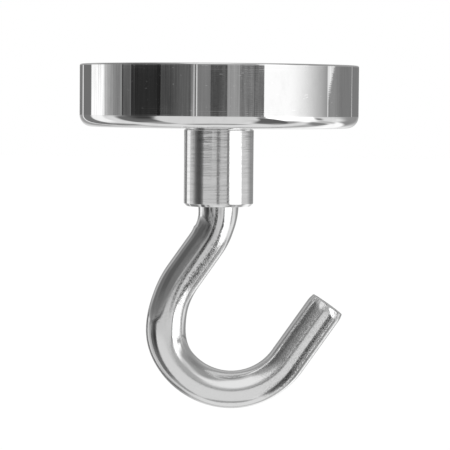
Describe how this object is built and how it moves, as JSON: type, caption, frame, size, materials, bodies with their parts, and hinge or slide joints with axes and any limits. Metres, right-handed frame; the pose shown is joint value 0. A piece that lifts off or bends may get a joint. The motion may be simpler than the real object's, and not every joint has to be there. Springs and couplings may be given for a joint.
{
  "type": "magnetic hook",
  "caption": "Round pot magnet with a threaded bushing under it and a bent wire hook screwed in, for hanging things from a steel surface.",
  "frame": {"origin": "centre of the magnet face, in the plane of the cup's rim", "axes": "+Z is the magnet face's outward normal, towards the steel it sticks to; the hook lies in the XZ plane with its mouth towards +X"},
  "size_m": [0.048, 0.048, 0.0594],
  "materials": {
    "cup_nickel": "bright nickel plating, mirror polished",
    "magnet_nickel": "satin nickel plating, ground flat",
    "black_resin": "cast black epoxy, glossy with a low meniscus",
    "turned_steel": "turned steel, plated, fine lathe marks around it",
    "hook_plating": "bright plated drawn wire, faintly rippled"
  },
  "bodies": {
    "magnet_assembly": {"steel_cup": "cup_nickel", "disc_magnet": "magnet_nickel", "potting_resin": "black_resin", "threaded_bushing": "turned_steel"},
    "hook": {"wire_hook": "hook_plating"}
  },
  "joints": [
    {"name": "hook_turn", "type": "hinge", "parent": "magnet_assembly", "child": "hook", "pos_m": [0, 0, -0.0243], "axis": [0, 0, 1], "range_deg": [-180, 180]}
  ]
}
